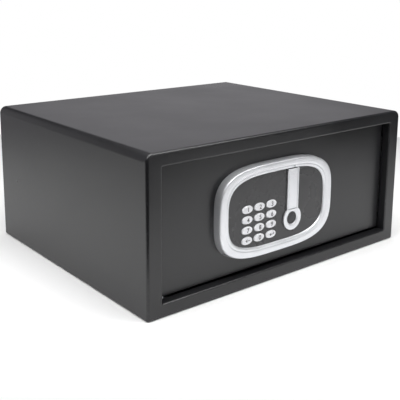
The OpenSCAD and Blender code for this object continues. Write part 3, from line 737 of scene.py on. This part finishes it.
def depth_of(x, z, half_x, half_z, power, section):
    """Depth of a key's top at a point: the section's depth at the inset whose oval runs through it."""
    low, high = 0.0, min(half_x, half_z) / MM - 0.01
    for _ in range(30):  # Halving closes in on that inset.
        inset = (low + high) / 2
        if abs(x / (half_x - inset * MM)) ** power + abs(z / (half_z - inset * MM)) ** power < 1:
            low = inset
        else:
            high = inset
    for (near, near_depth, _), (far, far_depth, _) in zip(section, section[1:]):
        if near < low <= far:
            return near_depth + (far_depth - near_depth) * (low - near) / (far - near)
    return section[-1][1]


def keycap(node):
    """Oval key with a rounded rim, a shallow dished top and its mark, which follows the dish."""
    low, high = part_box(node)
    centre = (low + high) / 2
    lip = 1.1
    lip_front = high.y - 0.8 * MM
    half_x, half_z = (high.x - low.x) / 2 - lip * MM, (high.z - low.z) / 2 - lip * MM
    power = 2.15
    turns = even_turns(half_x, half_z, power, count=64)
    top = low.y
    dish = 0.22 * MM
    # Millimetres in from the key's side, depth behind its highest plane, and wear.
    foot = [(-lip, high.y - top, 0), (-lip, lip_front - top, 0), (0.0, lip_front - top, 0)]
    face = [(0.05, 1.5 * MM, 0), (0.12, 0.75 * MM, 0.1), (0.28, 0.38 * MM, 0.4), (0.55, 0.14 * MM, 0.8),
            (0.90, 0.03 * MM, 1.0), (1.25, 0.0, 0.6), (1.7, 0.03 * MM, 0.2), (2.3, 0.10 * MM, 0),
            (3.2, 0.17 * MM, 0), (4.3, dish, 0)]
    rings = []
    for inset, depth, worn in foot + face:
        side_x, side_z = half_x - inset * MM, half_z - inset * MM
        rings.append((superellipse(side_x, side_z, power, centre, top + depth, turns), worn))
    bm = loft(rings, capped=True)
    mark_lift, right = 0.04 * MM, 1.2 * MM
    mark = key_mark(node)
    for vert in mark.verts:
        depth = depth_of(vert.co.x + right, vert.co.z, half_x, half_z, power, face)
        vert.co = (centre.x + right + vert.co.x, top + depth - mark_lift, centre.z + vert.co.z)
    merge(bm, mark, material_index=1)
    obj = as_object(node + "_finished", bm, [MATERIALS["key_plastic"], KEY_PRINT])
    placed(smoothed(obj, angle=50), node)


def ring_lens():
    """Dark lens with a shallow dome and a fine rim."""
    low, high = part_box("ring_lens")
    centre = (low + high) / 2
    radius = (high.x - low.x) / 2
    turns = [2 * math.pi * i / 64 for i in range(64)]
    # Share of the radius and millimetres above the seat.
    section = [(1.0, 0.0), (1.0, 0.35), (0.97, 0.5), (0.92, 0.53), (0.88, 0.40), (0.84, 0.36), (0.7, 0.44),
               (0.5, 0.52), (0.25, 0.575), (0.06, 0.6)]
    rings = [(superellipse(radius * share, radius * share, 2, centre, high.y - height * MM, turns), 0)
             for share, height in section]
    obj = as_object("ring_lens_finished", loft(rings, capped=True), [MATERIALS["lens_plastic"]])
    placed(smoothed(obj, angle=50), "ring_lens")


# ---- Mat and screws ----

def floor_mat():
    """Laid felt mat: slightly uneven pile, soft edges, and a hole at each anchor."""
    low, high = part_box("floor_mat")
    pitch = 4 * MM
    nx, ny = round((high.x - low.x) / pitch), round((high.y - low.y) / pitch)
    hole_r = 9.5 * MM
    edge, edge_drop = 2.4 * MM, 0.7 * MM
    settled = 0.35 * MM
    through = 5 * MM
    swells_per_metre, tufts_per_metre = 18, 260
    bm = bmesh.new()
    levels = []
    for z in (low.z, high.z):
        grid = []
        for j in range(ny + 1):
            for i in range(nx + 1):
                x = low.x + (high.x - low.x) * i / nx
                y = low.y + (high.y - low.y) * j / ny
                grid.append(bm.verts.new((x, y, z)))
        levels.append(grid)
    bottom, top = levels

    def at(grid, i, j):
        return grid[j * (nx + 1) + i]

    for j in range(ny):
        for i in range(nx):
            bm.faces.new((at(top, i, j), at(top, i + 1, j), at(top, i + 1, j + 1), at(top, i, j + 1)))
            bm.faces.new((at(bottom, i, j), at(bottom, i, j + 1),
                          at(bottom, i + 1, j + 1), at(bottom, i + 1, j)))
    border = [(i, 0) for i in range(nx)] + [(nx, j) for j in range(ny)]
    border += [(i, ny) for i in range(nx, 0, -1)] + [(0, j) for j in range(ny, 0, -1)]
    for (i, j), (k, l) in zip(border, border[1:] + border[:1]):
        bm.faces.new((at(bottom, i, j), at(bottom, k, l), at(top, k, l), at(top, i, j)))
    bmesh.ops.recalc_face_normals(bm, faces=bm.faces)
    mat = as_object("floor_mat_felt", bm, [MATERIALS["carpet"]])
    for x, y in ANCHORS:
        cut_away(mat, cylinder(hole_r, (x, y, low.z - through), (x, y, high.z + through), segments=40))
    middle = (low.z + high.z) / 2
    for vert in mat.data.vertices:
        if vert.co.z > middle:
            x, y = vert.co.x, vert.co.y
            swell = noise.noise(Vector((x * swells_per_metre, y * swells_per_metre, 0.5)))
            tuft = noise.noise(Vector((x * tufts_per_metre, y * tufts_per_metre, 3.5)))
            rim = min(x - low.x, high.x - x, y - low.y, high.y - y)
            drop = edge_drop * max(0.0, 1 - rim / edge)
            vert.co.z = high.z - settled + (0.2 * swell + 0.1 * tuft) * MM - drop
    placed(smoothed(mat, angle=50), "floor_mat")


def pan_head(radius, height):
    """Screw head with a domed top and a cross recess, its seat at the origin and its top towards +Y."""
    turns = [2 * math.pi * i / 32 for i in range(32)]
    # Shares of the radius and of the height, and wear.
    section = [(1.0, 0.0, 0), (1.0, 0.45, 0.4), (0.96, 0.66, 0.9), (0.86, 0.82, 0.8), (0.66, 0.93, 0.3),
               (0.4, 0.98, 0), (0.12, 1.0, 0)]
    centre = Vector((0, 0, 0))
    rings = [(superellipse(radius * share, radius * share, 2, centre, height * level, turns), worn)
             for share, level, worn in section]
    head = as_object("head", loft(rings, capped=True), [])
    arm, width, depth = 0.62 * radius, 0.17 * radius, 0.55 * height
    foot = 0.55  # The recess narrows to this share at its foot.
    for half_x, half_z in ((arm, width), (width, arm)):
        recess = bmesh.new()
        bmesh.ops.create_cube(recess, size=1)
        for vert in recess.verts:
            taper = 1.0 if vert.co.y > 0 else foot
            vert.co = Vector((vert.co.x * 2 * half_x * taper,
                              height + (vert.co.y - 0.5) * depth + 0.25 * depth,
                              vert.co.z * 2 * half_z * taper))
        bmesh.ops.recalc_face_normals(recess, faces=recess.faces)
        cut_away(head, recess)
    bm = bmesh.new()
    bm.from_mesh(head.data)
    bpy.data.objects.remove(head)
    return bm


def screws(node):
    """Pan-head screws that face +Y, one for each solid of the CAD node, each stopped at its own turn."""
    shank_r, head_t, overlap = 1.9 * MM, 2 * MM, 0.1 * MM
    bm = bmesh.new()
    bm.verts.layers.float.new("wear")
    for low, high in islands(node):
        x, z = (low.x + high.x) / 2, (low.z + high.z) / 2
        turn = Matrix.Rotation(40 * x / MM, 4, "Y")
        seat = high.y - head_t
        merge(bm, pan_head((high.x - low.x) / 2, head_t), Matrix.Translation((x, seat, z)) @ turn)
        merge(bm, cylinder(shank_r, (x, low.y, z), (x, seat + overlap, z), segments=24))
    obj = as_object(node + "_finished", bm, [MATERIALS[SLOT_OF[node]]])
    placed(smoothed(obj, angle=40), node)


# ---- The object ----

add_camera()
add_studio()
add_floor()
outer_shell()
bezel()
ring_lens()
for key in KEYS:
    keycap(key)
floor_mat()
screws("tray_screws")
screws("bezel_screws")

# Millimetres of rounding on the remaining CAD shapes: sheet metal is folded, machined pieces deburred.
ROUNDING = {
    "door_plate": 0.8, "door_tray": 0.5, "back_panel": 0.4, "bolt_strike": 0.5, "fascia": 0.25,
    "strip_frame": 0.5, "key_flap": 0.3, "battery_cover": 0.4, "battery_box": 0.3,
    "hinge_arm_lower": 0.4, "hinge_arm_upper": 0.4, "hinge_bracket_lower": 0.4, "hinge_bracket_upper": 0.4,
    "hinge_pin_lower": 0.3, "hinge_pin_upper": 0.3, "hinge_bushes": 0.2, "bolt_guide": 0.4,
    "guide_posts": 0.3, "gear_motor": 0.3, "control_board": 0.15, "batteries": 0.4,
    "battery_contacts": 0.1, "flap_pin": 0.1, "keypad_mat": 0.1, "keypad_board": 0.15,
    "display_module": 0.3, "lock_body": 0.3, "lock_nut": 0.3, "bolt_upper": 0.3, "bolt_lower": 0.3,
    "bolt_carrier": 0.15, "bolt_nuts": 0.4, "drive_pinion": 0.12, "lock_plug": 0.2, "lock_cam": 0.25,
}
for node, rounding in ROUNDING.items():
    bevelled(node, rounding * MM)

scene.view_settings.view_transform = "Standard"
